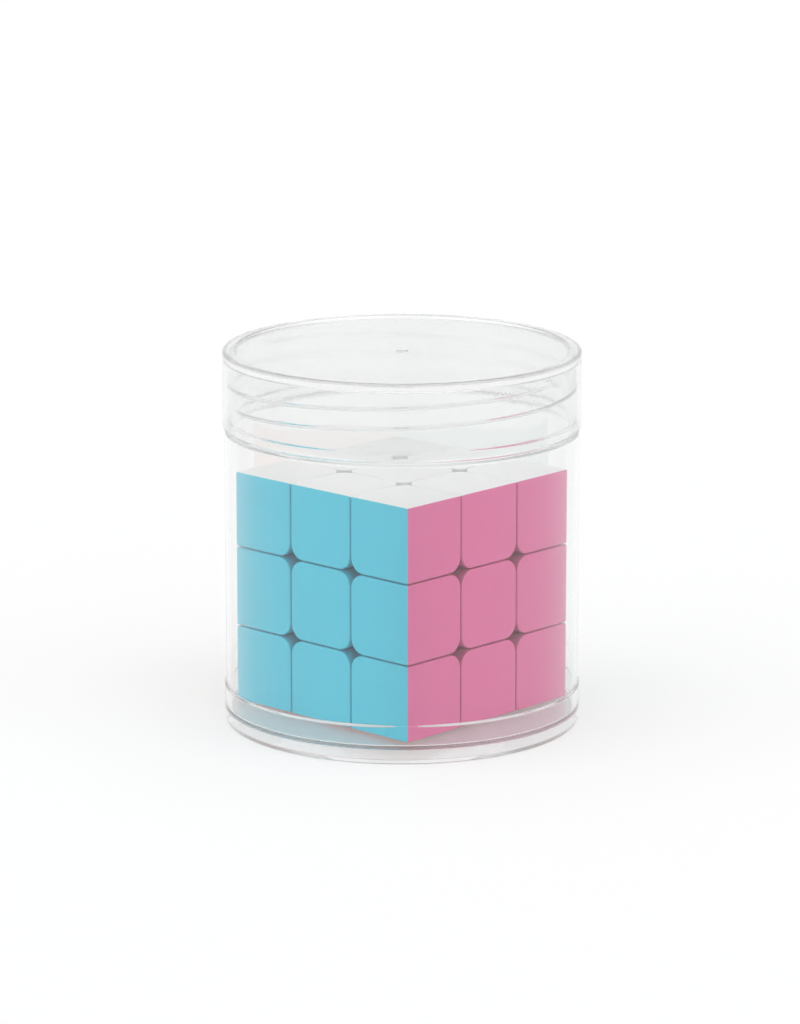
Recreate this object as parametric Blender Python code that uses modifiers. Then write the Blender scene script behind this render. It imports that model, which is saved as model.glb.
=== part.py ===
"""A stickerless three-layer twisty cube in its clear screw-lid jar.

The origin is the centre of the jar's foot and +Z is up. The cube stands on the jar's floor with
its faces square to X and Y: front is -Y, back +Y, right +X and left -X. Lengths are in metres.
"""

import math

import bmesh
import bpy
from mathutils import Matrix, Vector

# The cube
CUBE_EDGE = 0.0560
MIDDLE_EXTRA = 0.0011  # how much thicker the middle layer is than the two outer ones
SEAM = 0.0003  # gap between neighbouring pieces
CORNER_ROUND = 0.0036  # rounding of a face's corner where four pieces meet
CUBE_CHAMFER = 0.0004  # along the cube's twelve outer edges

# The mechanism inside it
COVER_DEPTH = 0.0070  # from a face to the ball that the feet turn in
CORNER_FOOT = 0.0054  # depth of a corner's foot
EDGE_FOOT = 0.0094  # depth of an edge's foot
SPHERE_GAP = 0.0004  # between the feet and the pieces they slide under
STEM_IN_BLOCK = 0.0024  # how far a foot's stem reaches into its block
STEM_WALL = 0.0010  # of a centre body's stem, around the spring pocket
STEM_GAP = 0.0003  # from a centre body's stem to the middle of the seam beside it
CAP_THICKNESS = 0.0022
CAP_PLUG = 0.0010  # height of the plug that holds a cap in the spring pocket
HUB_CLEARANCE = 0.0036  # from the core's hub to the feet
ARM_WALL = 0.0019
TURNING_GAP = 0.0004  # between a centre body and the arm and screw it turns on
SCREW_RADIUS = 0.0014
SCREW_TIP = 0.0048  # from the cube's centre to a screw's tip
SCREW_HEAD_OVERHANG = 0.0014
SCREW_HEAD_HEIGHT = 0.0016
SCREW_SLOT = 0.0006
PART_GAP = 0.0003  # between pieces that rest on each other
WASHER_THICKNESS = 0.0005
WASHER_OVERHANG = 0.0003
POCKET_CLEARANCE = 0.0006  # from a washer to the wall of its spring pocket
POCKET_FLOOR = 0.0022  # thickness of the floor that the spring pushes on
SPRING_WIRE = 0.0006
SPRING_LENGTH = 0.0081
SPRING_TURNS = 4

# The jar and its lid
CUBE_CLEARANCE = 0.0005  # from the cube's upright edges to the neck's bore
JAR_WALL = 0.0009
WALL_SETBACK = 0.0004  # how far the jar's wall lies inside the lid's outer face
JAR_FLOOR = 0.0042  # height of the inside floor
FLOOR_THICKNESS = 0.0009
FOOT_RING = 0.0010  # width of the foot ring
FOOT_DRAFT = 0.0003  # how much the hollow under the floor narrows on its way up
FOOT_SLOPE_WIDTH = 0.0005  # slope between the foot ring and the foot band
FOOT_SLOPE_HEIGHT = 0.0013
BAND_STEP = 0.0004  # how far the foot band stands out from the wall
BAND_HEIGHT = 0.0090
BAND_SLOPE = 0.0004  # height of the slope from the band to the wall
FLOOR_FILLET = 0.0004  # inside, where the floor meets the wall
HEADROOM = 0.0274  # from the cube's top to the jar's mouth
NECK_WALL = 0.0009
SHOULDER_SLOPE = 0.0012  # height of the slope inside, from the wall to the neck's bore
COLLAR_STEP = 0.0004  # bead ring at the foot of the neck
COLLAR_HEIGHT = 0.0024
THREAD_DEPTH = 0.0004
THREAD_WIDTH = 0.0011
THREAD_PITCH = 0.0047  # from one ridge to the next
THREAD_STARTS = 2
THREAD_TURNS = 0.9  # of each start
THREAD_TOP = 0.0020  # from the jar's mouth down to the highest ridge
THREAD_START_ANGLE = math.radians(18)  # where a ridge's upper end lies
LID_GAP = 0.0003  # between the lid and the jar
SKIRT_WALL = 0.0008
SKIRT_HEIGHT = 0.0182
LID_PANEL = 0.0012  # thickness of the lid's panel
PANEL_RECESS = 0.0007  # how far the panel lies below the rim
RIM_WIDTH = 0.0028
RIM_ROUND = 0.0009
GATE_RADIUS = 0.0015  # moulding gate mark on the panel
GATE_HEIGHT = 0.0002

# Facets
RING_STEPS = 48
ROD_STEPS = 16
BALL_LEVEL = 3  # subdivisions of an icosphere
ROUND_STEPS = 3
SPRING_STEPS = 7  # wire points in one turn
FACET_ALLOWANCE = 1.004  # a ball cutter grows by this, so that its facets clear the true ball

# Worked out from the above
HALF = CUBE_EDGE / 2
SPLIT = CUBE_EDGE / 6 + MIDDLE_EXTRA / 3  # from the centre to the seams' middle planes
FOOT_SPHERE = HALF - COVER_DEPTH
SCREW_HEAD_RADIUS = SCREW_RADIUS + SCREW_HEAD_OVERHANG
WASHER_RADIUS = SCREW_HEAD_RADIUS + WASHER_OVERHANG
POCKET_RADIUS = WASHER_RADIUS + POCKET_CLEARANCE
STEM_RADIUS = POCKET_RADIUS + STEM_WALL
TRACK = STEM_RADIUS + STEM_GAP  # half width of the slot between the feet
HUB_RADIUS = FOOT_SPHERE - EDGE_FOOT - HUB_CLEARANCE
ARM_RADIUS = SCREW_RADIUS + PART_GAP + ARM_WALL
BODY_TOP = HALF - CAP_THICKNESS  # face of a centre body that its cap rests over
HEAD_TOP = BODY_TOP - CAP_PLUG - PART_GAP
WASHER_TOP = HEAD_TOP - SCREW_HEAD_HEIGHT - PART_GAP
SPRING_TOP = WASHER_TOP - WASHER_THICKNESS - PART_GAP
SPRING_BOTTOM = SPRING_TOP - SPRING_LENGTH
POCKET_BOTTOM = SPRING_BOTTOM - PART_GAP
ARM_LENGTH = POCKET_BOTTOM - POCKET_FLOOR - TURNING_GAP
STEM_END = (FOOT_SPHERE + SPHERE_GAP + STEM_IN_BLOCK) / math.sqrt(2)
CUBE_BOTTOM = JAR_FLOOR + PART_GAP
CUBE_CENTRE = CUBE_BOTTOM + HALF
NECK_BORE = CUBE_EDGE / math.sqrt(2) + CUBE_CLEARANCE
NECK_RADIUS = NECK_BORE + NECK_WALL
THREAD_RADIUS = NECK_RADIUS + THREAD_DEPTH
MOUTH = CUBE_BOTTOM + CUBE_EDGE + HEADROOM
LID_BORE = max(THREAD_RADIUS, NECK_RADIUS + COLLAR_STEP) + LID_GAP
LID_RADIUS = LID_BORE + SKIRT_WALL
JAR_RADIUS = LID_RADIUS - WALL_SETBACK
BORE = JAR_RADIUS - JAR_WALL
LID_INSIDE = MOUTH + LID_GAP
PANEL_TOP = LID_INSIDE + LID_PANEL
LID_TOP = PANEL_TOP + PANEL_RECESS
SKIRT_BOTTOM = LID_TOP - SKIRT_HEIGHT
SHOULDER = SKIRT_BOTTOM - LID_GAP

SHELL_COLOURS = {
    "top": ("white_shell", (0.80, 0.80, 0.79)),
    "bottom": ("red_shell", (0.70, 0.07, 0.08)),
    "front": ("cyan_shell", (0.10, 0.52, 0.72)),
    "right": ("pink_shell", (0.68, 0.17, 0.36)),
    "back": ("green_shell", (0.12, 0.55, 0.25)),
    "left": ("orange_shell", (0.86, 0.22, 0.06)),
}
DIRECTIONS = {
    "top": Vector((0, 0, 1)),
    "bottom": Vector((0, 0, -1)),
    "front": Vector((0, -1, 0)),
    "right": Vector((1, 0, 0)),
    "back": Vector((0, 1, 0)),
    "left": Vector((-1, 0, 0)),
}


def clear_scene():
    for thing in list(bpy.data.objects):
        bpy.data.objects.remove(thing, do_unlink=True)


def new_collection(name):
    collection = bpy.data.collections.new(name)
    bpy.context.scene.collection.children.link(collection)
    return collection


def new_material(name, colour, roughness, metallic=0.0, transmission=0.0):
    material = bpy.data.materials.new(name)
    material.use_nodes = True
    shader = material.node_tree.nodes["Principled BSDF"]
    shader.inputs["Base Color"].default_value = (*colour, 1.0)
    shader.inputs["Roughness"].default_value = roughness
    shader.inputs["Metallic"].default_value = metallic
    shader.inputs["Transmission Weight"].default_value = transmission
    return material


def mesh_object(name, bm, collection):
    """Turn a bmesh into an object at the origin of the collection."""
    mesh = bpy.data.meshes.new(name)
    bm.to_mesh(mesh)
    bm.free()
    made = bpy.data.objects.new(name, mesh)
    collection.objects.link(made)
    return made


# Shapes that are combined into pieces. Each one is a tool in the "cutters" collection.


def as_tool(tool):
    tool.hide_render = True
    tool.display_type = "WIRE"
    return tool


def box_tool(low, high):
    """A box from its lowest corner to its highest one."""
    low, high = Vector(low), Vector(high)
    bm = bmesh.new()
    bmesh.ops.create_cube(bm, size=1.0)
    bmesh.ops.scale(bm, vec=high - low, verts=bm.verts)
    bmesh.ops.translate(bm, vec=(low + high) / 2, verts=bm.verts)
    return as_tool(mesh_object("box", bm, cutters))


def rod_tool(radius, low, high):
    """A round rod along Z."""
    bm = bmesh.new()
    bmesh.ops.create_cone(
        bm, cap_ends=True, segments=ROD_STEPS, radius1=radius, radius2=radius, depth=high - low
    )
    bmesh.ops.translate(bm, vec=(0, 0, (low + high) / 2), verts=bm.verts)
    return as_tool(mesh_object("rod", bm, cutters))


def ball_tool(radius):
    """A ball around the cube's centre."""
    bm = bmesh.new()
    bmesh.ops.create_icosphere(bm, subdivisions=BALL_LEVEL, radius=radius)
    return as_tool(mesh_object("ball", bm, cutters))


def ball_cutter(radius):
    """A ball whose facets all lie outside the radius, to cut room for a ball of that size."""
    return ball_tool(radius * FACET_ALLOWANCE)


def combine(base, steps):
    """Give base one Boolean modifier for each (operation, tool)."""
    for operation, tool in steps:
        modifier = base.modifiers.new(operation.lower(), "BOOLEAN")
        modifier.operation = operation
        modifier.object = tool
        modifier.solver = "EXACT"
    return base


def settled_mesh(source, name):
    """The mesh that source has after its modifiers, with faceted rounds shaded smooth."""
    graph = bpy.context.evaluated_depsgraph_get()
    mesh = bpy.data.meshes.new_from_object(source.evaluated_get(graph))
    mesh.name = name
    mesh.shade_smooth()
    mesh.set_sharp_from_angle(angle=math.radians(30))
    return mesh


# The cube's pieces, each modelled around the cube's centre


def rounded_block(low, high, rounded, chamfered):
    """A block with some edges rounded and some chamfered, each picked by its middle point."""
    block = box_tool(low, high)
    bm = bmesh.new()
    bm.from_mesh(block.data)

    def picked(test):
        return [edge for edge in bm.edges if test((edge.verts[0].co + edge.verts[1].co) / 2)]

    bmesh.ops.bevel(
        bm, geom=picked(rounded), offset=CORNER_ROUND, segments=ROUND_STEPS,
        affect="EDGES", profile=0.5, material=-1,
    )
    outer = picked(chamfered)
    if outer:
        bmesh.ops.bevel(
            bm, geom=outer, offset=CUBE_CHAMFER, segments=1,
            affect="EDGES", profile=0.5, material=-1,
        )
    bm.to_mesh(block.data)
    bm.free()
    return block


def at_surface(value):
    return abs(value - HALF) < CUBE_CHAMFER / 4


def corner_mesh():
    """The corner at +X +Y +Z: a block on a foot that reaches behind the edges beside it."""
    near = SPLIT + SEAM / 2
    foot_near = TRACK + SEAM / 2

    def inner_edge(middle):
        return sum(abs(value - near) < SEAM for value in middle) == 2

    def cube_edge(middle):
        return sum(at_surface(value) for value in middle) == 2

    block = rounded_block([near] * 3, [HALF] * 3, inner_edge, cube_edge)
    foot = box_tool([foot_near] * 3, [FOOT_SPHERE] * 3)
    combine(foot, [
        ("INTERSECT", ball_tool(FOOT_SPHERE - SPHERE_GAP / 2)),
        ("DIFFERENCE", ball_cutter(FOOT_SPHERE - CORNER_FOOT)),
    ])
    stem = box_tool([near] * 3, [STEM_END] * 3)
    return settled_mesh(combine(block, [("UNION", stem), ("UNION", foot)]), "corner")


def edge_mesh():
    """The edge at +Y +Z: a block on a foot that reaches behind the centres beside it."""
    side = SPLIT - SEAM / 2
    near = SPLIT + SEAM / 2
    foot_side = TRACK - SEAM / 2
    foot_near = TRACK + SEAM / 2

    def inner_edge(middle):
        beside = abs(abs(middle.x) - side) < SEAM
        return beside and (abs(middle.y - near) < SEAM or abs(middle.z - near) < SEAM)

    def cube_edge(middle):
        return at_surface(middle.y) and at_surface(middle.z)

    block = rounded_block((-side, near, near), (side, HALF, HALF), inner_edge, cube_edge)
    foot = box_tool((-foot_side, foot_near, foot_near), (foot_side, FOOT_SPHERE, FOOT_SPHERE))
    combine(foot, [
        ("INTERSECT", ball_tool(FOOT_SPHERE - SPHERE_GAP / 2)),
        ("DIFFERENCE", ball_cutter(FOOT_SPHERE - EDGE_FOOT)),
    ])
    stem = box_tool((-foot_side, near, near), (foot_side, STEM_END, STEM_END))
    combine(block, [
        ("DIFFERENCE", ball_cutter(FOOT_SPHERE + SPHERE_GAP / 2)),
        ("UNION", stem),
        ("UNION", foot),
    ])
    return settled_mesh(block, "edge")


def centre_body_mesh():
    """The centre's body on +Z: a block on a stem, bored for its screw, with a spring pocket."""
    side = SPLIT - SEAM / 2

    def upright(middle):
        return abs(abs(middle.x) - side) < SEAM and abs(abs(middle.y) - side) < SEAM

    block = rounded_block((-side, -side, SPLIT), (side, side, BODY_TOP), upright, lambda _: False)
    combine(block, [
        ("DIFFERENCE", ball_cutter(FOOT_SPHERE + SPHERE_GAP / 2)),
        ("UNION", rod_tool(STEM_RADIUS, ARM_LENGTH + TURNING_GAP, BODY_TOP - CAP_THICKNESS)),
        ("DIFFERENCE", rod_tool(POCKET_RADIUS, POCKET_BOTTOM, HALF)),
        ("DIFFERENCE", rod_tool(SCREW_RADIUS + TURNING_GAP, 0, HALF)),
    ])
    return settled_mesh(block, "centre_body")


def centre_cap_mesh():
    """The coloured cap over the centre body on +Z, with the plug that holds it."""
    side = SPLIT - SEAM / 2

    def upright(middle):
        return abs(abs(middle.x) - side) < SEAM and abs(abs(middle.y) - side) < SEAM

    low = BODY_TOP + PART_GAP
    block = rounded_block((-side, -side, low), (side, side, HALF), upright, lambda _: False)
    plug = rod_tool(POCKET_RADIUS - PART_GAP, BODY_TOP - CAP_PLUG, low + CAP_THICKNESS / 4)
    return settled_mesh(combine(block, [("UNION", plug)]), "centre_cap")


def screw_mesh():
    """The screw on +Z, with a slotted head."""
    shank = rod_tool(SCREW_RADIUS, SCREW_TIP, HEAD_TOP - SCREW_HEAD_HEIGHT / 2)
    head = rod_tool(SCREW_HEAD_RADIUS, HEAD_TOP - SCREW_HEAD_HEIGHT, HEAD_TOP)
    slot = box_tool(
        (-SCREW_HEAD_RADIUS, -SCREW_SLOT / 2, HEAD_TOP - SCREW_HEAD_HEIGHT / 2),
        (SCREW_HEAD_RADIUS, SCREW_SLOT / 2, HALF),
    )
    return settled_mesh(combine(shank, [("UNION", head), ("DIFFERENCE", slot)]), "screw")


def washer_mesh():
    """The washer under the screw head on +Z."""
    ring = rod_tool(WASHER_RADIUS, WASHER_TOP - WASHER_THICKNESS, WASHER_TOP)
    hole = rod_tool(SCREW_RADIUS + PART_GAP, 0, HALF)
    return settled_mesh(combine(ring, [("DIFFERENCE", hole)]), "washer")


def polyline(name, points, radii, thickness):
    """A square wire through the points, as a curve object."""
    curve = bpy.data.curves.new(name, "CURVE")
    curve.dimensions = "3D"
    curve.bevel_depth = thickness / 2
    curve.bevel_resolution = 0
    curve.use_fill_caps = True
    spline = curve.splines.new("POLY")
    spline.points.add(len(points) - 1)
    for point, place, radius in zip(spline.points, points, radii):
        point.co = (*place, 1.0)
        point.radius = radius
    made = bpy.data.objects.new(name, curve)
    cutters.objects.link(made)
    return made


def curve_to_mesh(wire):
    """The closed mesh of a wire, whose loose caps are welded on; the curve is removed."""
    mesh = settled_mesh(wire, wire.name)
    bm = bmesh.new()
    bm.from_mesh(mesh)
    bmesh.ops.remove_doubles(bm, verts=bm.verts, dist=1e-6)
    bmesh.ops.recalc_face_normals(bm, faces=bm.faces)
    bm.to_mesh(mesh)
    bm.free()
    curve = wire.data
    bpy.data.objects.remove(wire)
    bpy.data.curves.remove(curve)
    return mesh


def spring_mesh():
    """The coil spring between the pocket's floor and the washer on +Z."""
    coil_radius = POCKET_RADIUS - PART_GAP - SPRING_WIRE / 2
    low = SPRING_BOTTOM + SPRING_WIRE / 2
    high = SPRING_TOP - SPRING_WIRE / 2
    count = SPRING_TURNS * SPRING_STEPS + 1
    points = []
    for index in range(count):
        angle = math.tau * index / SPRING_STEPS
        height = low + (high - low) * index / (count - 1)
        points.append((coil_radius * math.cos(angle), coil_radius * math.sin(angle), height))
    return curve_to_mesh(polyline("spring", points, [1.0] * count, SPRING_WIRE))


def core_mesh():
    """The spider: a hub with six bored arms."""
    hub = ball_tool(HUB_RADIUS)
    turns = [Matrix.Identity(4), Matrix.Rotation(math.pi / 2, 4, "X"),
             Matrix.Rotation(math.pi / 2, 4, "Y")]
    steps = []
    for turn in turns:
        arm = rod_tool(ARM_RADIUS, -ARM_LENGTH, ARM_LENGTH)
        arm.data.transform(turn)
        steps.append(("UNION", arm))
    for direction in DIRECTIONS.values():
        bore = rod_tool(SCREW_RADIUS + PART_GAP, SCREW_TIP - PART_GAP, ARM_LENGTH * 2)
        bore.data.transform(facing(direction))
        steps.append(("DIFFERENCE", bore))
    return settled_mesh(combine(hub, steps), "core")


# The jar and the lid


def turned(name, profile, collection):
    """A body turned about Z from a profile of (radius, height) points, outer side first."""
    closed = profile[0][0] > 0
    bm = bmesh.new()
    verts = [bm.verts.new((radius, 0, height)) for radius, height in profile]
    for first, second in zip(verts, verts[1:]):
        bm.edges.new((first, second))
    if closed:
        bm.edges.new((verts[-1], verts[0]))
    made = mesh_object(name, bm, collection)
    screw = made.modifiers.new("turn", "SCREW")
    screw.axis = "Z"
    screw.steps = screw.render_steps = RING_STEPS
    screw.use_merge_vertices = True
    screw.merge_threshold = 1e-5
    screw.use_smooth_shade = True
    return made


def jar_profile():
    """From the neck's outer edge down the outside, under the floor and up the bore."""
    band = JAR_RADIUS + BAND_STEP
    ring_outside = band - FOOT_SLOPE_WIDTH
    ring_inside = ring_outside - FOOT_RING
    hollow = JAR_FLOOR - FLOOR_THICKNESS
    collar = NECK_RADIUS + COLLAR_STEP
    lip = NECK_WALL / 4
    return [
        (NECK_RADIUS - lip, MOUTH),
        (NECK_RADIUS, MOUTH - lip),
        (NECK_RADIUS, SHOULDER + COLLAR_HEIGHT),
        (collar, SHOULDER + COLLAR_HEIGHT - COLLAR_STEP),
        (collar, SHOULDER),
        (JAR_RADIUS, SHOULDER),
        (JAR_RADIUS, BAND_HEIGHT + BAND_SLOPE),
        (band, BAND_HEIGHT),
        (band, FOOT_SLOPE_HEIGHT),
        (ring_outside, 0),
        (ring_inside, 0),
        (ring_inside - FOOT_DRAFT, hollow),
        (0, hollow),
        (0, JAR_FLOOR),
        (BORE - FLOOR_FILLET, JAR_FLOOR),
        (BORE - FLOOR_FILLET * 0.3, JAR_FLOOR + FLOOR_FILLET * 0.3),
        (BORE, JAR_FLOOR + FLOOR_FILLET),
        (BORE, SHOULDER - SHOULDER_SLOPE),
        (NECK_BORE, SHOULDER),
        (NECK_BORE, MOUTH - lip),
        (NECK_BORE + lip, MOUTH),
    ]


def thread_ridge(start):
    """One start of the neck's right-hand thread, as a wire sunk halfway into the neck."""
    lead = THREAD_PITCH * THREAD_STARTS
    count = round(RING_STEPS * THREAD_TURNS)
    radius = THREAD_RADIUS - THREAD_WIDTH / 2
    points, radii = [], []
    for index in range(count + 1):
        turned_by = math.tau * index / RING_STEPS
        angle = THREAD_START_ANGLE + math.tau * start / THREAD_STARTS - turned_by
        height = MOUTH - THREAD_TOP - lead * turned_by / math.tau
        points.append((radius * math.cos(angle), radius * math.sin(angle), height))
        radii.append(min(1.0, 0.5 + 0.25 * min(index, count - index)))
    wire = polyline(f"ridge_{start}", points, radii, THREAD_WIDTH)
    ridge = bpy.data.objects.new(f"ridge_{start}", curve_to_mesh(wire))
    cutters.objects.link(ridge)
    return as_tool(ridge)


def make_jar():
    jar = turned("jar", jar_profile(), parts)
    combine(jar, [("UNION", thread_ridge(start)) for start in range(THREAD_STARTS)])
    jar.data.materials.append(clear_plastic)
    return jar


def make_lid():
    rim_inside = LID_RADIUS - RIM_WIDTH
    profile = [
        (0, PANEL_TOP + GATE_HEIGHT),
        (GATE_RADIUS * 0.8, PANEL_TOP + GATE_HEIGHT),
        (GATE_RADIUS, PANEL_TOP),
        (rim_inside - PANEL_RECESS / 2, PANEL_TOP),
        (rim_inside, LID_TOP),
        (LID_RADIUS - RIM_ROUND, LID_TOP),
        (LID_RADIUS - RIM_ROUND * 0.3, LID_TOP - RIM_ROUND * 0.3),
        (LID_RADIUS, LID_TOP - RIM_ROUND),
        (LID_RADIUS, SKIRT_BOTTOM),
        (LID_BORE, SKIRT_BOTTOM),
        (LID_BORE, LID_INSIDE),
        (0, LID_INSIDE),
    ]
    lid = turned("lid", profile, parts)
    lid.data.materials.append(clear_plastic)
    return lid


# Placing the cube's pieces


def facing(direction):
    """The turn that takes +Z to a direction along an axis."""
    return direction.to_track_quat("Z", "Y").to_matrix().to_4x4()


def joint_axis(name):
    """An empty on a joint's axis, at the cube's centre."""
    empty = bpy.data.objects.new(name, None)
    empty.location = (0, 0, CUBE_CENTRE)
    empty.empty_display_size = HALF / 2
    parts.objects.link(empty)
    return empty


def place(name, mesh, turn, material, axis_empty):
    piece = bpy.data.objects.new(name, mesh)
    parts.objects.link(piece)
    piece.parent = axis_empty
    piece.rotation_euler = turn.to_euler()
    if not mesh.materials:
        mesh.materials.append(material)
    slot = piece.material_slots[0]
    slot.link = "OBJECT"
    slot.material = material
    return piece


def layer_of(direction_sum):
    height = round(direction_sum.z)
    return {1: "top", 0: "middle", -1: "bottom"}[height]


def place_corners():
    mesh = corner_mesh()
    home = Vector((1, 1, 1))
    for level in ("top", "bottom"):
        flip = Matrix.Identity(4) if level == "top" else Matrix.Rotation(math.pi, 4, "X")
        for quarter in range(4):
            turn = Matrix.Rotation(quarter * math.pi / 2, 4, "Z") @ flip
            at = turn @ home
            depth = "front" if at.y < 0 else "back"
            side = "right" if at.x > 0 else "left"
            name = f"corner_{level}_{depth}_{side}"
            place(name, mesh, turn, shells[level], axes[level])


def place_edges():
    mesh = edge_mesh()
    home = Vector((0, 1, 1))
    for level in ("top", "bottom"):
        flip = Matrix.Identity(4) if level == "top" else Matrix.Rotation(math.pi, 4, "X")
        for quarter in range(4):
            turn = Matrix.Rotation(quarter * math.pi / 2, 4, "Z") @ flip
            side = side_name(turn @ home)
            place(f"edge_{level}_{side}", mesh, turn, shells[level], axes[level])
    upright = Matrix.Rotation(math.pi / 2, 4, "Y")
    for quarter in range(4):
        turn = Matrix.Rotation(quarter * math.pi / 2, 4, "Z") @ upright
        at = turn @ home
        depth = "front" if at.y < 0 else "back"
        side = "right" if at.x > 0 else "left"
        place(f"edge_{depth}_{side}", mesh, turn, shells[side], axes["middle"])


def side_name(place_of_piece):
    """The upright face that a place belongs to."""
    flat = Vector((place_of_piece.x, place_of_piece.y, 0))
    return max(DIRECTIONS, key=lambda name: DIRECTIONS[name].dot(flat))


def place_centres():
    body, cap = centre_body_mesh(), centre_cap_mesh()
    screw, washer, spring = screw_mesh(), washer_mesh(), spring_mesh()
    for side, direction in DIRECTIONS.items():
        turn = facing(direction)
        layer = axes[layer_of(direction)]
        place(f"centre_body_{side}", body, turn, shells[side], layer)
        place(f"centre_cap_{side}", cap, turn, shells[side], layer)
        place(f"centre_screw_{side}", screw, turn, steel, axes["middle"])
        place(f"centre_washer_{side}", washer, turn, steel, axes["middle"])
        place(f"centre_spring_{side}", spring, turn, steel, axes["middle"])


clear_scene()
parts = new_collection("twisty_cube_in_jar")
cutters = new_collection("cutters")
clear_plastic = new_material("clear_plastic", (0.96, 0.97, 0.97), 0.04, transmission=1.0)
inner_plastic = new_material("inner_plastic", (0.30, 0.07, 0.13), 0.45)
steel = new_material("steel", (0.55, 0.55, 0.56), 0.30, metallic=1.0)
shells = {
    side: new_material(name, colour, 0.28) for side, (name, colour) in SHELL_COLOURS.items()
}
axes = {level: joint_axis(f"{level}_layer_axis") for level in ("top", "middle", "bottom")}

make_jar()
make_lid()
place("core", core_mesh(), Matrix.Identity(4), inner_plastic, axes["middle"])
place_corners()
place_edges()
place_centres()
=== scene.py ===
"""A stickerless twisty cube standing in a clear round jar with a clear screw lid.

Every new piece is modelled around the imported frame, in metres, with +Z up. The cube's front face
is at -Y and its right face at +X. Pieces that the frame already shows well only get a finish.
"""

import math

import bmesh
import bpy
from mathutils import Matrix, Vector


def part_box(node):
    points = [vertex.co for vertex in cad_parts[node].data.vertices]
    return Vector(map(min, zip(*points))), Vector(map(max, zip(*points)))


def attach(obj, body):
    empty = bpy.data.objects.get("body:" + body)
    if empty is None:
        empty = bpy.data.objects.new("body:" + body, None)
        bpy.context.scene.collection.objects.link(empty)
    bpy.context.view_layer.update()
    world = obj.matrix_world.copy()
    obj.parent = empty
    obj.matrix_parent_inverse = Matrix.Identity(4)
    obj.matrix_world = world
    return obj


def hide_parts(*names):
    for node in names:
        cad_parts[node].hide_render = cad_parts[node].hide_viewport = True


bl_info = {
    "name": "Twisty cube in a clear jar",
    "version": (1, 0, 0),
    "blender": (4, 5, 0),
    "location": "3D View > Sidebar > Cube Jar",
    "description": "Models a twisty cube, its clear jar and screw lid, and a bright studio",
    "category": "Object",
}

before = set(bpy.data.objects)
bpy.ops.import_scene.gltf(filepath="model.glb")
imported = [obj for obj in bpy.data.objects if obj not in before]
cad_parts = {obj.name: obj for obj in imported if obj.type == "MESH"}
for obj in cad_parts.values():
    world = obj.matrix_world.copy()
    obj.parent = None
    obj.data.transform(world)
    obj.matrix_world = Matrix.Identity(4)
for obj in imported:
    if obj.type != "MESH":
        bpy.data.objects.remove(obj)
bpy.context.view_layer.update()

# The cube, read from the frame
CORE_LOW, CORE_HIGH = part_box("core")
CENTRE = (CORE_LOW + CORE_HIGH) / 2
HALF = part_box("centre_cap_right")[1].x
MIDDLE_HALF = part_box("centre_cap_top")[1].x  # half width of a middle piece
BODY_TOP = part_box("centre_body_top")[1].z - CENTRE.z
SPRING_LOW, SPRING_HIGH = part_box("centre_spring_top")

# Clearances that the frame's pieces keep to each other
SEAM = 0.0003
PART_GAP = 0.0003
FOOT_BALL = 0.02125  # radius of the space that the feet turn in
INNER_BALL = 0.0240  # everything of a piece that lies in this ball comes from the frame
PLUG_RADIUS = 0.0034
SPRING_WIRE = 0.0006
SPRING_TURNS = 4

# The jar and the lid, read from the frame
FOOT_BAND_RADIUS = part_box("jar")[1].x
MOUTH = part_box("jar")[1].z
LID_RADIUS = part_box("lid")[1].x
LID_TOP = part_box("lid")[1].z
SKIRT_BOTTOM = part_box("lid")[0].z
LID_GAP = 0.0003  # between the lid and the jar
SHOULDER = SKIRT_BOTTOM - LID_GAP

# The neck's thread
THREAD_STARTS = 2
THREAD_TURNS = 0.9
THREAD_TOP = 0.0020  # from the mouth to the first ridge
THREAD_START_ANGLE = math.radians(18)
THREAD_CROWN = 8  # segments across a ridge
RUNOUT_SHARE = 24  # a ridge runs out over this part of a turn
RUNOUT_HEIGHT = 0.15  # share of the ridge's height that is left at its ends

# The gate mark on the lid
GATE_RADIUS = 0.0015
GATE_TOP_RADIUS = 0.0013
GATE_HEIGHT = 0.0002
GATE_ROUND = 0.0001

# Roundings of the turned pieces' edges
BAND_ROUND = 0.00015
EDGE_ROUND = 0.0002
STEP_ROUND = 0.0003
LID_CORNER_ROUND = 0.0004

# Finishes
TILE_ROUGHNESS = 0.34
TILE_GRAIN = 1e-6
INNER_ROUGHNESS = 0.5
INNER_GRAIN = 8e-6
LID_HAZE = 0.03
FLOOR_HAZE = 0.3
PASSING_TINT = (0.955, 0.96, 0.96)  # of light that passes the clear plastic to make a shadow
CLEAR_WAVES = 0.000003

# The studio
FLOOR_RADIUS = 6.0
FLOOR_DROP = 0.0002
SKY_STOPS = ((0.0, 0.62), (0.28, 0.62), (0.42, 0.32), (0.72, 0.32), (0.88, 1.0))
KEY_DIRECTION = Vector((-0.35, -1.0, 0.55))
FILL_DIRECTION = Vector((1.0, 0.0, 0.55))
SUN_WIDTH = 70  # degrees
CLEAR_BOUNCES = 64  # light that is guided inside a thin plate needs many
DIFFUSE_BOUNCES = 6
CAMERA_DIP = 13.366  # degrees below the horizon
CAMERA_TWIST = 0.0244  # degrees off the jar's axis

# Smoothness
TURN_STEPS = 192
ROUND_SEGMENTS = 8
BEVEL_SEGMENTS = 3
LIP_SEGMENTS = 4
TINY = 1e-6

SIDES = {
    "top": Vector((0, 0, 1)),
    "bottom": Vector((0, 0, -1)),
    "front": Vector((0, -1, 0)),
    "right": Vector((1, 0, 0)),
    "back": Vector((0, 1, 0)),
    "left": Vector((-1, 0, 0)),
}


# Settings that a user would change


def length(name, description, default):
    return bpy.props.FloatProperty(
        name=name, description=description, default=default, min=0.0, unit="LENGTH", precision=5
    )


def colour(name, description, default):
    return bpy.props.FloatVectorProperty(
        name=name, description=description, default=default, size=3, min=0.0, max=1.0,
        subtype="COLOR",
    )


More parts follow.
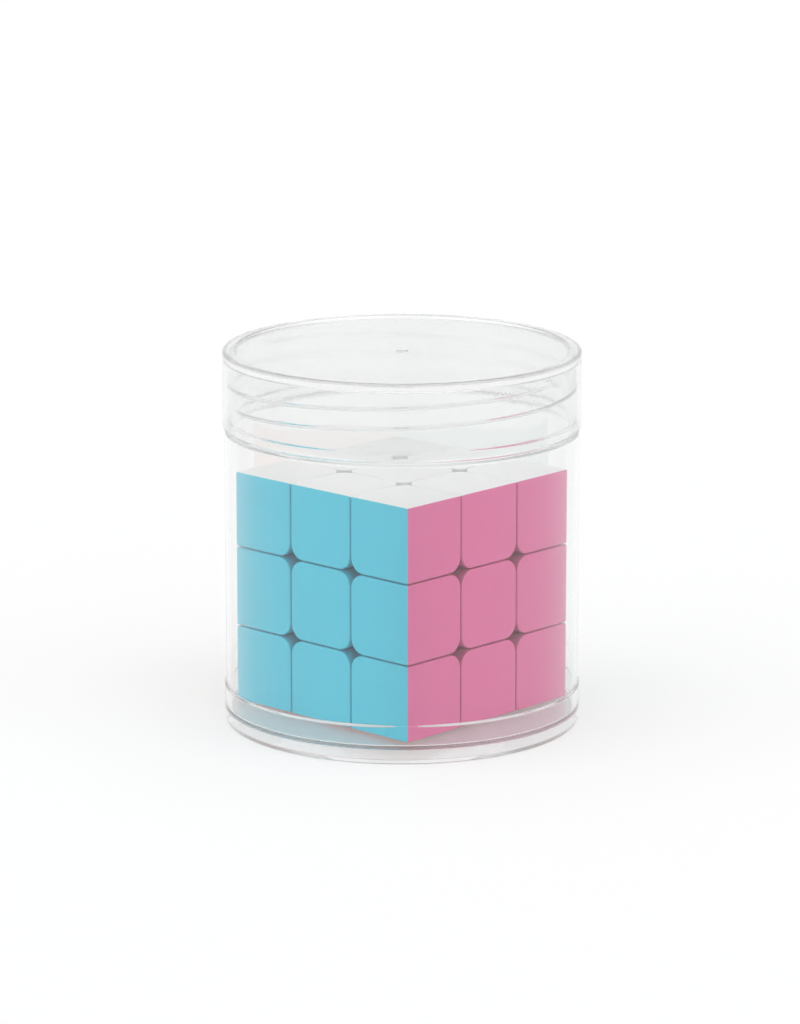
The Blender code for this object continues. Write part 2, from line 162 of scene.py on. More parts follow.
class CubeSettings(bpy.types.PropertyGroup):
    """Sizes and colours of the cube's visible pieces."""

    corner_round: length(
        "Corner round", "Rounding of a tile's corner where four tiles meet", 0.0036
    )
    seam_bevel: length("Seam bevel", "Soft edge along the seams", 0.00042)
    shell_depth: length("Shell depth", "How far a tile's colour runs down its sides", 0.0100)
    top: colour("Top", "Colour of the top tiles", (0.80, 0.80, 0.79))
    bottom: colour("Bottom", "Colour of the bottom tiles", (0.72, 0.08, 0.09))
    front: colour("Front", "Colour of the front tiles", (0.045, 0.52, 0.67))
    right: colour("Right", "Colour of the right tiles", (0.65, 0.115, 0.288))
    back: colour("Back", "Colour of the back tiles", (0.12, 0.55, 0.25))
    left: colour("Left", "Colour of the left tiles", (0.86, 0.22, 0.06))
    inside: colour("Inside", "Colour of the pieces' inner plastic", (0.07, 0.04, 0.10))


class JarSettings(bpy.types.PropertyGroup):
    """Sizes of the clear jar and its lid."""

    wall: length("Wall", "Thickness of the jar's wall", 0.0009)
    floor: length("Floor", "Height of the inside floor", 0.0042)
    floor_thickness: length("Floor thickness", "Thickness of the jar's floor", 0.0009)
    foot_ring: length("Foot ring", "Width of the ring that the jar stands on", 0.0010)
    foot_draft: length("Foot draft", "How much the hollow under the floor narrows", 0.0003)
    foot_slope_width: length("Foot slope width", "From the foot ring out to the band", 0.0005)
    foot_slope_height: length("Foot slope height", "From the foot ring up to the band", 0.0013)
    band_step: length("Band step", "How far the foot band stands out", 0.0004)
    band_height: length("Band height", "Height of the foot band", 0.0090)
    band_slope: length("Band slope", "Height of the slope from the band to the wall", 0.0004)
    floor_fillet: length("Floor fillet", "Inside, where the floor meets the wall", 0.0004)
    neck_wall: length("Neck wall", "Thickness of the neck under the lid", 0.0009)
    shoulder_slope: length("Shoulder slope", "Height of the slope inside the shoulder", 0.0012)
    collar_step: length("Collar step", "How far the bead at the neck's foot stands out", 0.0004)
    collar_height: length("Collar height", "Height of the bead at the neck's foot", 0.0024)
    thread_depth: length("Thread depth", "How far a thread ridge stands out", 0.0004)
    thread_width: length("Thread width", "Height of a thread ridge", 0.0011)
    thread_pitch: length("Thread pitch", "From one thread ridge to the next", 0.0047)
    skirt_wall: length("Skirt wall", "Thickness of the lid's skirt", 0.0008)
    panel: length("Panel", "Thickness of the lid's panel", 0.0012)
    panel_recess: length("Panel recess", "How far the panel lies below the rim", 0.0007)
    rim_width: length("Rim width", "Width of the lid's raised rim", 0.0028)
    rim_round: length("Rim round", "Rounding of the lid's outer edge", 0.0009)
    tint: colour("Tint", "Tint of the clear plastic", (0.955, 0.96, 0.96))


class StudioSettings(bpy.types.PropertyGroup):
    """The light and the camera."""

    sky: bpy.props.FloatProperty(
        name="Sky", description="Brightness of the light overhead", default=1.5, min=0.0
    )
    key: bpy.props.FloatProperty(
        name="Key", description="Strength of the soft light on the front face", default=1.0, min=0.0
    )
    fill: bpy.props.FloatProperty(
        name="Fill", description="Strength of the soft light on the right face", default=1.1,
        min=0.0,
    )
    distance: length("Distance", "From the camera to the jar's axis", 1.1237)
    height: length("Height", "Height of the camera", 0.3172)
    heading: bpy.props.FloatProperty(
        name="Heading", description="Where the camera stands, turned from the front",
        default=math.radians(43.1), subtype="ANGLE",
    )
    lens: bpy.props.FloatProperty(
        name="Lens", description="Focal length in millimetres", default=170.6, min=1.0
    )


# Shading


class Wire:
    """A node's output socket. Sums on wires add Math nodes."""

    def __init__(self, shading, socket):
        self.shading = shading
        self.socket = socket

    def maths(self, operation, first, second):
        return self.shading.add("ShaderNodeMath", {"operation": operation}, {0: first, 1: second})

    def __add__(self, other):
        return self.maths("ADD", self, other)

    def __mul__(self, other):
        return self.maths("MULTIPLY", self, other)

    __radd__ = __add__
    __rmul__ = __mul__


class Shading:
    """The node tree of a material or a world."""

    def __init__(self, owner):
        owner.use_nodes = True
        self.tree = owner.node_tree
        self.tree.nodes.clear()

    def add(self, kind, settings=None, sockets=None, output=0):
        """Add a node, set it up, feed its sockets, and return one of its outputs."""
        node = self.tree.nodes.new(kind)
        for name, value in (settings or {}).items():
            if name == "stops":
                self.set_stops(node.color_ramp, value)
            else:
                setattr(node, name, value)
        for name, value in (sockets or {}).items():
            if isinstance(value, Wire):
                self.tree.links.new(value.socket, node.inputs[name])
            else:
                node.inputs[name].default_value = value
        return Wire(self, node.outputs[output]) if node.outputs else None

    @staticmethod
    def set_stops(ramp, stops):
        while len(ramp.elements) < len(stops):
            ramp.elements.new(1.0)
        for element, (place, value) in zip(ramp.elements, stops):
            element.position = place
            element.color = (value, value, value, 1.0)

    def spots(self, size, detail=2.0, stretch=(1.0, 1.0, 1.0)):
        """Noise with spots of about this size in metres, around 0.5."""
        place = self.add("ShaderNodeTexCoord", output="Object")
        if stretch != (1.0, 1.0, 1.0):
            place = self.add("ShaderNodeMapping", {}, {"Vector": place, "Scale": stretch})
        return self.add(
            "ShaderNodeTexNoise", {}, {"Vector": place, "Scale": 1 / size, "Detail": detail}
        )

    def mixed_colour(self, share, first, second):
        return self.add(
            "ShaderNodeMix", {"data_type": "RGBA"}, {0: share, 6: first, 7: second}, output=2
        )

    def bump(self, height, depth, strength=1.0):
        return self.add(
            "ShaderNodeBump", {}, {"Height": height, "Distance": depth, "Strength": strength}
        )

    def surface(self, shader):
        self.add("ShaderNodeOutputMaterial", {}, {"Surface": shader})


def opaque(tone):
    return (*tone, 1.0)


def scaled(tone, factor):
    return tuple(min(1.0, value * factor) for value in tone)


def moulded_plastic(name, tone, roughness, grain):
    """Solid moulded plastic: faint flow clouds, a fine moulded grain and light handling marks."""
    material = bpy.data.materials.new(name)
    shading = Shading(material)
    clouds = shading.spots(0.012, detail=3.0)
    marks = shading.spots(0.0022, detail=4.0, stretch=(1.0, 1.0, 0.35))
    fine = shading.spots(0.00045, detail=2.0)
    base = shading.mixed_colour(
        clouds, opaque(scaled(tone, 0.975)), opaque(scaled(tone, 1.025))
    )
    shader = shading.add("ShaderNodeBsdfPrincipled", {}, {
        "Base Color": base,
        "Roughness": marks * 0.10 + (roughness - 0.05),
        "IOR": 1.53,
        "Normal": shading.bump(fine, grain),
    })
    shading.surface(shader)
    return material


def clear_plastic(name, tint, haze):
    """Clear moulded plastic: faint waves in the surface, and rubbing marks over a haze."""
    material = bpy.data.materials.new(name)
    shading = Shading(material)
    waves = shading.spots(0.009, detail=1.0, stretch=(1.0, 1.0, 0.5))
    rubs = shading.spots(0.003, detail=4.0, stretch=(0.4, 0.4, 1.6))
    shader = shading.add("ShaderNodeBsdfPrincipled", {}, {
        "Base Color": opaque(tint),
        "Roughness": rubs * (0.03 + haze * 0.4) + haze,
        "IOR": 1.58,
        "Transmission Weight": 1.0,
        "Normal": shading.bump(waves, CLEAR_WAVES),
    })
    passing = shading.add("ShaderNodeBsdfTransparent", {}, {"Color": opaque(PASSING_TINT)})
    is_shadow = shading.add("ShaderNodeLightPath", output="Is Shadow Ray")
    shading.surface(shading.add("ShaderNodeMixShader", {}, {0: is_shadow, 1: shader, 2: passing}))
    return material


def plated_steel(name):
    """Plated steel with fine drawing lines and cloudy wear."""
    material = bpy.data.materials.new(name)
    shading = Shading(material)
    clouds = shading.spots(0.0016, detail=3.0)
    lines = shading.spots(0.0002, detail=2.0, stretch=(1.0, 1.0, 6.0))
    shader = shading.add("ShaderNodeBsdfPrincipled", {}, {
        "Base Color": shading.mixed_colour(
            clouds, opaque((0.47, 0.47, 0.48)), opaque((0.62, 0.62, 0.61))
        ),
        "Metallic": 1.0,
        "Roughness": clouds * 0.16 + 0.20,
        "Normal": shading.bump(lines, 0.000004),
    })
    shading.surface(shader)
    return material


def studio_floor(name):
    """White sweep with a barely visible tooth, lit a little from below."""
    material = bpy.data.materials.new(name)
    shading = Shading(material)
    tooth = shading.spots(0.0015, detail=3.0)
    shader = shading.add("ShaderNodeBsdfPrincipled", {}, {
        "Base Color": shading.mixed_colour(
            tooth, opaque((0.39, 0.393, 0.393)), opaque((0.41, 0.413, 0.413))
        ),
        "Emission Color": (1.0, 1.0, 1.0, 1.0),
        "Emission Strength": 0.50,
        "Roughness": 0.9,
        "Specular IOR Level": 0.2,
    })
    shading.surface(shader)
    return material


# Modelling


def bevel(bm, geometry, offset, segments, affect="EDGES"):
    bmesh.ops.bevel(
        bm, geom=geometry, offset=offset, offset_type="OFFSET", segments=segments,
        profile=0.5, affect=affect, material=-1,
    )


def turned(outline):
    """A bmesh turned about Z from (radius, height, rounding) points, outer side first."""
    bm = bmesh.new()
    corners = [bm.verts.new((radius, 0, height)) for radius, height, _ in outline]
    for first, second in zip(corners, corners[1:]):
        bm.edges.new((first, second))
    if outline[0][0] > 0:
        bm.edges.new((corners[-1], corners[0]))
    for corner, (_, _, rounding) in zip(corners, outline):
        if rounding:
            bevel(bm, [corner], rounding, LIP_SEGMENTS, affect="VERTICES")
    bmesh.ops.spin(
        bm, geom=bm.verts[:] + bm.edges[:], cent=(0, 0, 0), axis=(0, 0, 1), angle=math.tau,
        steps=TURN_STEPS, use_merge=True,
    )
    bmesh.ops.remove_doubles(bm, verts=bm.verts, dist=TINY / 10)
    bmesh.ops.recalc_face_normals(bm, faces=bm.faces)
    return bm


def ball(radius):
    bm = bmesh.new()
    bmesh.ops.create_uvsphere(bm, u_segments=64, v_segments=32, radius=radius)
    return bm


def temporary(bm):
    """A hidden object that holds a bmesh while it is combined with another."""
    mesh = bpy.data.meshes.new("temporary")
    bm.to_mesh(mesh)
    bm.free()
    made = bpy.data.objects.new("temporary", mesh)
    bpy.context.scene.collection.objects.link(made)
    return made


def combined(base, steps):
    """The bmesh that is left after (operation, bmesh) steps on a bmesh."""
    holder = temporary(base)
    tools = [temporary(bm) for _, bm in steps]
    for (operation, _), tool in zip(steps, tools):
        modifier = holder.modifiers.new("combine", "BOOLEAN")
        modifier.operation = operation
        modifier.object = tool
        modifier.solver = "EXACT"
    result = bmesh.new()
    result.from_object(holder, bpy.context.evaluated_depsgraph_get())
    for thing in (holder, *tools):
        mesh = thing.data
        bpy.data.objects.remove(thing)
        bpy.data.meshes.remove(mesh)
    bmesh.ops.remove_doubles(result, verts=result.verts, dist=TINY)
    return result


def inner_part(node, home):
    """The part of a frame node that lies near the cube's centre, turned back to its home place."""
    bm = bmesh.new()
    bm.from_mesh(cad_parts[node].data)
    bmesh.ops.remove_doubles(bm, verts=bm.verts, dist=TINY)
    bmesh.ops.transform(bm, matrix=home, verts=bm.verts)
    return combined(bm, [("INTERSECT", ball(INNER_BALL))])


def block(low, high, is_rounded, settings):
    """A box with its picked edges rounded and every edge of its outer faces softened."""
    low, high = Vector(low), Vector(high)
    bm = bmesh.new()
    bmesh.ops.create_cube(bm, size=1.0)
    bmesh.ops.scale(bm, vec=high - low, verts=bm.verts)
    bmesh.ops.translate(bm, vec=(low + high) / 2, verts=bm.verts)
    rounded = [edge for edge in bm.edges if is_rounded((edge.verts[0].co + edge.verts[1].co) / 2)]
    bevel(bm, rounded, settings.corner_round, ROUND_SEGMENTS)
    outer = {
        face for face in bm.faces
        if max(face.calc_center_median()) > HALF - TINY and max(face.normal) > 0.99
    }
    edges = [edge for edge in bm.edges if outer & set(edge.link_faces)]
    bevel(bm, edges, settings.seam_bevel, BEVEL_SEGMENTS)
    return bm


def colour_faces(bm, axes, depth):
    """Give each face the number of its tile, or the last number where the inner plastic shows."""
    cuts = [Vector(axis) * (HALF - depth) for axis in axes]
    planes = [(cut, cut) for cut in cuts]
    for index, first in enumerate(axes):
        for second in axes[index + 1:]:
            planes.append((Vector((0, 0, 0)), Vector(first) - Vector(second)))
    for point, normal in planes:
        bmesh.ops.bisect_plane(
            bm, geom=bm.verts[:] + bm.edges[:] + bm.faces[:], dist=TINY,
            plane_co=point, plane_no=normal,
        )
    for face in bm.faces:
        middle = face.calc_center_median()
        heights = [middle.dot(axis) for axis in axes]
        highest = max(heights)
        shown = highest > HALF - depth
        face.material_index = heights.index(highest) if shown else len(axes)


def make_piece(name, bm, body, materials, replaced=()):
    """An object at the origin that rides on a body and stands for the frame's nodes."""
    mesh = bpy.data.meshes.new(name)
    bm.to_mesh(mesh)
    bm.free()
    for material in materials:
        mesh.materials.append(material)
    mesh.shade_smooth()
    mesh.set_sharp_from_angle(angle=math.radians(40))
    piece = bpy.data.objects.new(name, mesh)
    bpy.context.scene.collection.objects.link(piece)
    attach(piece, body)
    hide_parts(*replaced)
    return piece


def weigh_normals(piece):
    """Keep the flat faces flat beside their soft edges."""
    modifier = piece.modifiers.new("even_shading", "WEIGHTED_NORMAL")
    modifier.keep_sharp = True
    modifier.weight = 100


def side_of(direction):
    return max(SIDES, key=lambda name: SIDES[name].dot(direction))


def upright_place(at):
    """Which of the cube's four upright edges a point lies at."""
    return f"{'front' if at.y < 0 else 'back'}_{'right' if at.x > 0 else 'left'}"


def body_of_layer(height):
    return {1: "top_layer", 0: "middle_layer", -1: "bottom_layer"}[round(height)]


def finish(name, make, *values):
    """A material that is made once and then shared."""
    return bpy.data.materials.get(name) or make(name, *values)


def tile_finishes(settings):
    """One finish for the tiles of each side."""
    return {
        side: finish(
            f"{side}_tile", moulded_plastic, tuple(getattr(settings, side)), TILE_ROUGHNESS,
            TILE_GRAIN,
        )
        for side in SIDES
    }


def inner_finish(settings):
    return finish(
        "inner_moulding", moulded_plastic, tuple(settings.inside), INNER_ROUGHNESS, INNER_GRAIN
    )


def steel_finish():
    return finish("plated_steel", plated_steel)


def clear_finish(settings):
    return finish("polished_clear", clear_plastic, tuple(settings.tint), 0.0)


def hazy_clear_finish(settings):
    return finish("hazy_clear", clear_plastic, tuple(settings.tint), LID_HAZE)


def satin_clear_finish(settings):
    return finish("satin_clear", clear_plastic, tuple(settings.tint), FLOOR_HAZE)


def place_piece(name, node, home_bm, axes, turn, materials, settings):
    """Put a copy of a home piece in its place, with the finish of the sides that it faces."""
    bm = home_bm.copy()
    to_place = Matrix.Translation(CENTRE) @ turn
    bmesh.ops.transform(bm, matrix=to_place, verts=bm.verts)
    sides = [side_of(turn @ Vector(axis)) for axis in axes]
    finishes = [materials[side] for side in sides] + [inner_finish(settings)]
    body = body_of_layer(sum((turn @ Vector(axis) for axis in axes), Vector()).z)
    piece = make_piece(name, bm, body, finishes, [node])
    weigh_normals(piece)
    return piece


# Operators


class TWISTY_OT_corners(bpy.types.Operator):
    """Model the eight corner pieces"""

    bl_idname = "twisty.corners"
    bl_label = "Corner pieces"

    def execute(self, context):
        settings = context.scene.twisty_cube
        near = MIDDLE_HALF + SEAM
        home_turn = Matrix.Translation(-CENTRE)

        def inner_edge(middle):
            return sum(abs(value - near) < TINY for value in middle) == 2

        bm = combined(
            block([near] * 3, [HALF] * 3, inner_edge, settings),
            [("UNION", inner_part("corner_top_back_right", home_turn))],
        )
        axes = [(1, 0, 0), (0, 1, 0), (0, 0, 1)]
        colour_faces(bm, [Vector(axis) for axis in axes], settings.shell_depth)
        materials = tile_finishes(settings)
        for level in ("top", "bottom"):
            flip = Matrix.Identity(4) if level == "top" else Matrix.Rotation(math.pi, 4, "X")
            for quarter in range(4):
                turn = Matrix.Rotation(quarter * math.pi / 2, 4, "Z") @ flip
                at = turn @ Vector((1, 1, 1))
                where = f"{level}_{upright_place(at)}"
                place_piece(
                    f"corner_piece_{where}", f"corner_{where}", bm, axes, turn, materials, settings
                )
        bm.free()
        return {"FINISHED"}


class TWISTY_OT_edges(bpy.types.Operator):
    """Model the twelve edge pieces"""

    bl_idname = "twisty.edges"
    bl_label = "Edge pieces"

    def execute(self, context):
        settings = context.scene.twisty_cube
        near = MIDDLE_HALF + SEAM
        side = MIDDLE_HALF
        home_turn = Matrix.Translation(-CENTRE)

        def inner_edge(middle):
            beside = abs(abs(middle.x) - side) < TINY
            return beside and (abs(middle.y - near) < TINY or abs(middle.z - near) < TINY)

        bm = combined(
            block((-side, near, near), (side, HALF, HALF), inner_edge, settings),
            [
                ("DIFFERENCE", ball(FOOT_BALL)),
                ("UNION", inner_part("edge_top_back", home_turn)),
            ],
        )
        axes = [(0, 1, 0), (0, 0, 1)]
        colour_faces(bm, [Vector(axis) for axis in axes], settings.shell_depth)
        materials = tile_finishes(settings)
        tilts = {
            "top": Matrix.Identity(4),
            "bottom": Matrix.Rotation(math.pi, 4, "X"),
            "upright": Matrix.Rotation(math.pi / 2, 4, "Y"),
        }
        for level, tilt in tilts.items():
            for quarter in range(4):
                turn = Matrix.Rotation(quarter * math.pi / 2, 4, "Z") @ tilt
                at = turn @ Vector((0, 1, 1))
                if level == "upright":
                    where = upright_place(at)
                else:
                    where = f"{level}_{side_of(Vector((at.x, at.y, 0)))}"
                place_piece(
                    f"edge_piece_{where}", f"edge_{where}", bm, axes, turn, materials, settings
                )
        bm.free()
        return {"FINISHED"}


class TWISTY_OT_caps(bpy.types.Operator):
    """Model the six centre caps"""

    bl_idname = "twisty.caps"
    bl_label = "Centre caps"

    def execute(self, context):
        settings = context.scene.twisty_cube
        side = MIDDLE_HALF
        low = BODY_TOP + PART_GAP

        def upright(middle):
            return abs(abs(middle.x) - side) < TINY and abs(abs(middle.y) - side) < TINY

        plug = bmesh.new()
        plug_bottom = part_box("centre_cap_top")[0].z - CENTRE.z
        plug_top = (low + HALF) / 2
        bmesh.ops.create_cone(
            plug, cap_ends=True, segments=64, radius1=PLUG_RADIUS, radius2=PLUG_RADIUS,
            depth=plug_top - plug_bottom,
        )
        bmesh.ops.translate(plug, vec=(0, 0, (plug_top + plug_bottom) / 2), verts=plug.verts)
        bm = combined(
            block((-side, -side, low), (side, side, HALF), upright, settings), [("UNION", plug)]
        )
        materials = tile_finishes(settings)
        for name, direction in SIDES.items():
            turn = direction.to_track_quat("Z", "Y").to_matrix().to_4x4()
            place_piece(
                f"centre_tile_{name}", f"centre_cap_{name}", bm, [(0, 0, 1)], turn, materials,
                settings,
            )
        bm.free()
        return {"FINISHED"}


class TWISTY_OT_springs(bpy.types.Operator):
    """Wind the six centre springs"""

    bl_idname = "twisty.springs"
    bl_label = "Centre springs"

    def execute(self, context):
        steel = steel_finish()
        coil_radius = (SPRING_HIGH.x - SPRING_LOW.x) / 2 - SPRING_WIRE / 2
        low = SPRING_LOW.z - CENTRE.z + SPRING_WIRE / 2
        rise = SPRING_HIGH.z - SPRING_LOW.z - SPRING_WIRE
        steps = SPRING_TURNS * 32
        bm = bmesh.new()
        section = bmesh.ops.create_circle(bm, cap_ends=True, segments=12, radius=SPRING_WIRE / 2)
        to_start = Matrix.Translation((coil_radius, 0, low)) @ Matrix.Rotation(math.pi / 2, 4, "X")
        bmesh.ops.transform(bm, matrix=to_start, verts=section["verts"])
        bmesh.ops.spin(
            bm, geom=bm.verts[:] + bm.edges[:], cent=(0, 0, 0), axis=(0, 0, 1),
            dvec=(0, 0, rise / steps), angle=math.tau * SPRING_TURNS, steps=steps,
        )
        bmesh.ops.holes_fill(bm, edges=bm.edges)
        bmesh.ops.recalc_face_normals(bm, faces=bm.faces)
        for name, direction in SIDES.items():
            placed = bm.copy()
            turn = direction.to_track_quat("Z", "Y").to_matrix().to_4x4()
            bmesh.ops.transform(
                placed, matrix=Matrix.Translation(CENTRE) @ turn, verts=placed.verts
            )
            make_piece(
                f"centre_coil_{name}", placed, "middle_layer", [steel],
                [f"centre_spring_{name}"],
            )
        bm.free()
        return {"FINISHED"}


class TWISTY_OT_mechanism(bpy.types.Operator):
    """Finish the core, the centre bodies, the screws and the washers"""

    bl_idname = "twisty.mechanism"
    bl_label = "Mechanism finish"

    def execute(self, context):
        settings = context.scene.twisty_cube
        steel = steel_finish()
        plastic = inner_finish(settings)
        tiles = tile_finishes(settings)
        for node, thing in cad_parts.items():
            is_steel = node.startswith(("centre_screw", "centre_washer"))
            is_body = node.startswith("centre_body")
            if is_steel or is_body or node == "core":
                shown = tiles[node.split("_")[-1]] if is_body else plastic
                thing.data.materials.clear()
                thing.data.materials.append(steel if is_steel else shown)
        return {"FINISHED"}


def thread_ridge(settings, start, neck_radius):
    """One start of the neck's thread, sunk a little into the neck."""
    sunk = neck_radius - settings.neck_wall / 2
    crest = neck_radius + settings.thread_depth
    half = settings.thread_width / 2
    steps = round(TURN_STEPS * THREAD_TURNS)
    taper = TURN_STEPS // RUNOUT_SHARE
    bm = bmesh.new()
    height = MOUTH - THREAD_TOP
    corners = [(sunk, half)]
    for index in range(THREAD_CROWN + 1):
        angle = math.pi * (2 * index / THREAD_CROWN - 1)
        swell = (crest - neck_radius) * (0.5 + 0.5 * math.cos(angle))
        corners.append((neck_radius + swell, -half * angle / math.pi))
    corners.append((sunk, -half))
    section = [bm.verts.new((radius, 0, height + rise)) for radius, rise in corners]
    bm.faces.new(section)
    count = len(section)
    bmesh.ops.spin(
        bm, geom=bm.verts[:] + bm.edges[:], cent=(0, 0, 0), axis=(0, 0, 1),
        dvec=(0, 0, -settings.thread_pitch * THREAD_STARTS * THREAD_TURNS / steps),
        angle=-math.tau * THREAD_TURNS, steps=steps,
    )
    bm.verts.ensure_lookup_table()
    for index in range(steps + 1):
        share = min(1.0, min(index, steps - index) / taper)
        for vert in bm.verts[index * count:(index + 1) * count]:
            radius = vert.co.xy.length
            kept = RUNOUT_HEIGHT + (1 - RUNOUT_HEIGHT) * share
            wanted = sunk + (radius - sunk) * kept
            vert.co.xy *= wanted / radius
    bmesh.ops.holes_fill(bm, edges=bm.edges)
    bmesh.ops.rotate(
        bm, cent=(0, 0, 0), verts=bm.verts,
        matrix=Matrix.Rotation(
            THREAD_START_ANGLE + math.tau * start / THREAD_STARTS, 3, "Z"
        ),
    )
    bmesh.ops.recalc_face_normals(bm, faces=bm.faces)
    return bm


class TWISTY_OT_jar(bpy.types.Operator):
    """Turn the clear jar with its foot band, shoulder and threaded neck"""

    bl_idname = "twisty.jar"
    bl_label = "Jar"

    def execute(self, context):
        s = context.scene.twisty_jar
        radius = FOOT_BAND_RADIUS - s.band_step
        bore = radius - s.wall
        collar = LID_RADIUS - s.skirt_wall - LID_GAP
        neck = collar - s.collar_step
        neck_bore = neck - s.neck_wall
        ring_outside = FOOT_BAND_RADIUS - s.foot_slope_width
        ring_inside = ring_outside - s.foot_ring
        hollow = s.floor - s.floor_thickness
        lip = s.neck_wall / 3
        outline = [
            (neck, MOUTH, lip),
            (neck, SHOULDER + s.collar_height, EDGE_ROUND),
            (collar, SHOULDER + s.collar_height - s.collar_step, STEP_ROUND),
            (collar, SHOULDER, EDGE_ROUND),
            (radius, SHOULDER, STEP_ROUND),
            (radius, s.band_height + s.band_slope, BAND_ROUND),
            (FOOT_BAND_RADIUS, s.band_height, BAND_ROUND),
            (FOOT_BAND_RADIUS, s.foot_slope_height, STEP_ROUND),
            (ring_outside, 0.0, EDGE_ROUND),
            (ring_inside, 0.0, EDGE_ROUND),
            (ring_inside - s.foot_draft, hollow, STEP_ROUND),
            (0.0, hollow, 0.0),
            (0.0, s.floor, 0.0),
            (bore, s.floor, s.floor_fillet),
            (bore, SHOULDER - s.shoulder_slope, STEP_ROUND),
            (neck_bore, SHOULDER, STEP_ROUND),
            (neck_bore, MOUTH, lip),
        ]
        bm = combined(
            turned(outline),
            [("UNION", thread_ridge(s, start, neck)) for start in range(THREAD_STARTS)],
        )
        for face in bm.faces:
            middle = face.calc_center_median()
            is_floor = abs(face.normal.z) > 0.99 and hollow - TINY < middle.z < s.floor + TINY
            face.material_index = 1 if is_floor and middle.xy.length < bore else 0
        finishes = [clear_finish(s), satin_clear_finish(s)]
        jar = make_piece("clear_jar", bm, "jar_body", finishes, ["jar"])
        weigh_normals(jar)
        return {"FINISHED"}


class TWISTY_OT_lid(bpy.types.Operator):
    """Turn the clear screw lid with its raised rim and gate mark"""

    bl_idname = "twisty.lid"
    bl_label = "Lid"

    def execute(self, context):
        s = context.scene.twisty_jar
        rim_inside = LID_RADIUS - s.rim_width
        panel_top = LID_TOP - s.panel_recess
        inside = panel_top - s.panel
        bore = LID_RADIUS - s.skirt_wall
        outline = [
            (0.0, panel_top + GATE_HEIGHT, 0.0),
            (GATE_TOP_RADIUS, panel_top + GATE_HEIGHT, GATE_ROUND),
            (GATE_RADIUS, panel_top, GATE_ROUND),
            (rim_inside - s.panel_recess / 2, panel_top, STEP_ROUND),
            (rim_inside, LID_TOP, STEP_ROUND),
            (LID_RADIUS, LID_TOP, s.rim_round),
            (LID_RADIUS, SKIRT_BOTTOM, EDGE_ROUND),
            (bore, SKIRT_BOTTOM, EDGE_ROUND),
            (bore, inside, LID_CORNER_ROUND),
            (0.0, inside, 0.0),
        ]
        lid = make_piece(
            "clear_lid", turned(outline), "lid", [hazy_clear_finish(s)], ["lid"]
        )
        weigh_normals(lid)
        return {"FINISHED"}


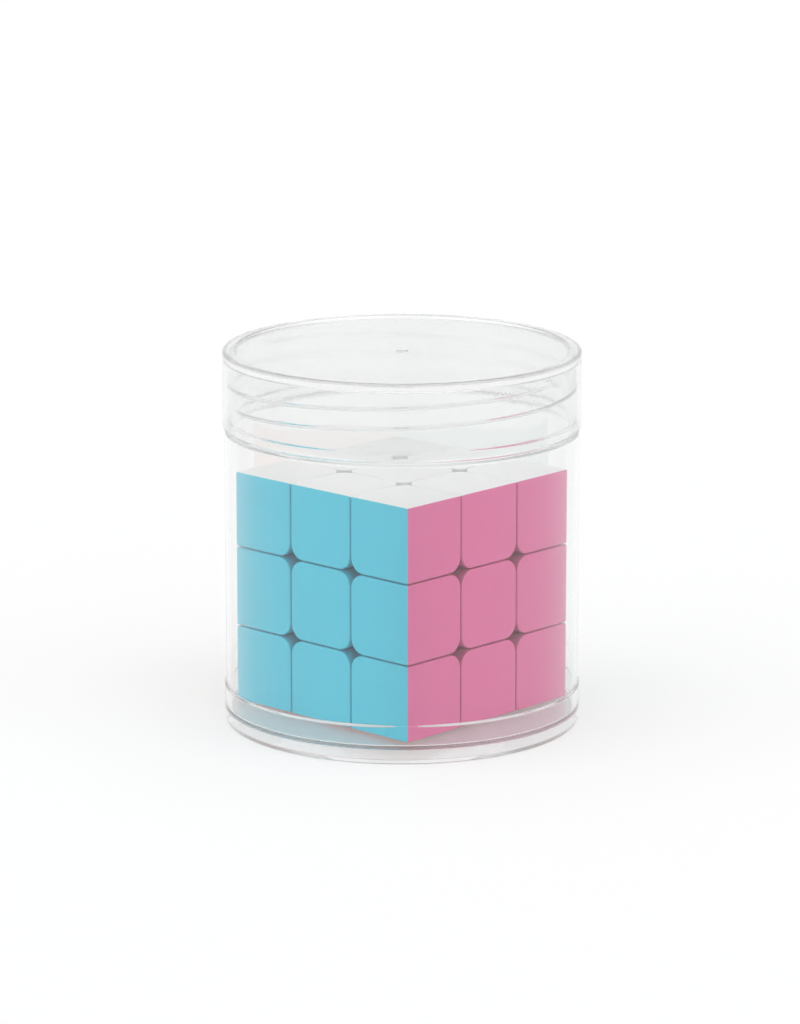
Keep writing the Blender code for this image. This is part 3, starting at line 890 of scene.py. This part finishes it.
class TWISTY_OT_studio(bpy.types.Operator):
    """Set up the white floor, the light and the camera"""

    bl_idname = "twisty.studio"
    bl_label = "Studio"

    def execute(self, context):
        s = context.scene.twisty_studio
        self.add_floor()
        self.add_light(s)
        self.add_camera(context, s)
        view = context.scene.view_settings
        view.view_transform = "Standard"
        cycles = context.scene.cycles
        cycles.use_denoising = True
        cycles.max_bounces = CLEAR_BOUNCES
        cycles.transmission_bounces = CLEAR_BOUNCES
        cycles.transparent_max_bounces = CLEAR_BOUNCES
        cycles.glossy_bounces = CLEAR_BOUNCES
        cycles.diffuse_bounces = DIFFUSE_BOUNCES
        return {"FINISHED"}

    def add_floor(self):
        bm = bmesh.new()
        bmesh.ops.create_circle(bm, cap_ends=True, segments=128, radius=FLOOR_RADIUS)
        mesh = bpy.data.meshes.new("studio_floor")
        bm.to_mesh(mesh)
        bm.free()
        mesh.materials.append(studio_floor("floor_paper"))
        floor = bpy.data.objects.new("studio_floor", mesh)
        floor.location.z = -FLOOR_DROP
        bpy.context.scene.collection.objects.link(floor)

    def add_light(self, s):
        world = bpy.data.worlds.new("studio_sky")
        bpy.context.scene.world = world
        shading = Shading(world)
        direction = shading.add("ShaderNodeTexCoord", output="Generated")
        height = shading.add("ShaderNodeSeparateXYZ", {}, {"Vector": direction}, output="Z")
        glow = shading.add("ShaderNodeValToRGB", {"stops": SKY_STOPS}, {"Fac": height})
        sky = shading.add("ShaderNodeBackground", {}, {"Color": glow, "Strength": s.sky})
        shading.add("ShaderNodeOutputWorld", {}, {"Surface": sky})
        self.add_sun("key_light", s.key, KEY_DIRECTION)
        self.add_sun("fill_light", s.fill, FILL_DIRECTION)

    def add_sun(self, name, strength, towards):
        """A distant soft light, from the direction that it stands in."""
        sun = bpy.data.lights.new(name, "SUN")
        sun.energy = strength
        sun.angle = math.radians(SUN_WIDTH)
        holder = bpy.data.objects.new(name, sun)
        holder.rotation_euler = towards.to_track_quat("Z", "Y").to_euler()
        bpy.context.scene.collection.objects.link(holder)

    def add_camera(self, context, s):
        data = bpy.data.cameras.new("camera")
        data.sensor_width = 36.0
        data.lens = s.lens
        data.clip_start = 0.01
        data.clip_end = 50.0
        camera = bpy.data.objects.new("camera", data)
        tilt = math.radians(90 - CAMERA_DIP)
        camera.location = (
            s.distance * math.sin(s.heading), -s.distance * math.cos(s.heading), s.height
        )
        camera.rotation_euler = (tilt, 0, s.heading + math.radians(CAMERA_TWIST))
        context.scene.collection.objects.link(camera)
        context.scene.camera = camera


class TWISTY_PT_panel(bpy.types.Panel):
    """Lists the pieces in the order that they are made"""

    bl_idname = "TWISTY_PT_panel"
    bl_label = "Cube in a Jar"
    bl_space_type = "VIEW_3D"
    bl_region_type = "UI"
    bl_category = "Cube Jar"

    def draw(self, context):
        for operator in OPERATORS:
            self.layout.operator(operator.bl_idname)
        for group in ("twisty_cube", "twisty_jar", "twisty_studio"):
            column = self.layout.column()
            settings = getattr(context.scene, group)
            for name in settings.__annotations__:
                column.prop(settings, name)


SETTINGS = {
    "twisty_cube": CubeSettings,
    "twisty_jar": JarSettings,
    "twisty_studio": StudioSettings,
}
OPERATORS = (
    TWISTY_OT_studio,
    TWISTY_OT_jar,
    TWISTY_OT_lid,
    TWISTY_OT_corners,
    TWISTY_OT_edges,
    TWISTY_OT_caps,
    TWISTY_OT_springs,
    TWISTY_OT_mechanism,
)


def register():
    for made in (*SETTINGS.values(), *OPERATORS, TWISTY_PT_panel):
        bpy.utils.register_class(made)
    for name, group in SETTINGS.items():
        setattr(bpy.types.Scene, name, bpy.props.PointerProperty(type=group))


def unregister():
    for name in SETTINGS:
        delattr(bpy.types.Scene, name)
    for made in reversed((*SETTINGS.values(), *OPERATORS, TWISTY_PT_panel)):
        bpy.utils.unregister_class(made)


def main():
    register()
    bpy.ops.twisty.studio()
    bpy.ops.twisty.jar()
    bpy.ops.twisty.lid()
    bpy.ops.twisty.corners()
    bpy.ops.twisty.edges()
    bpy.ops.twisty.caps()
    bpy.ops.twisty.springs()
    bpy.ops.twisty.mechanism()


if __name__ == "__main__":
    main()
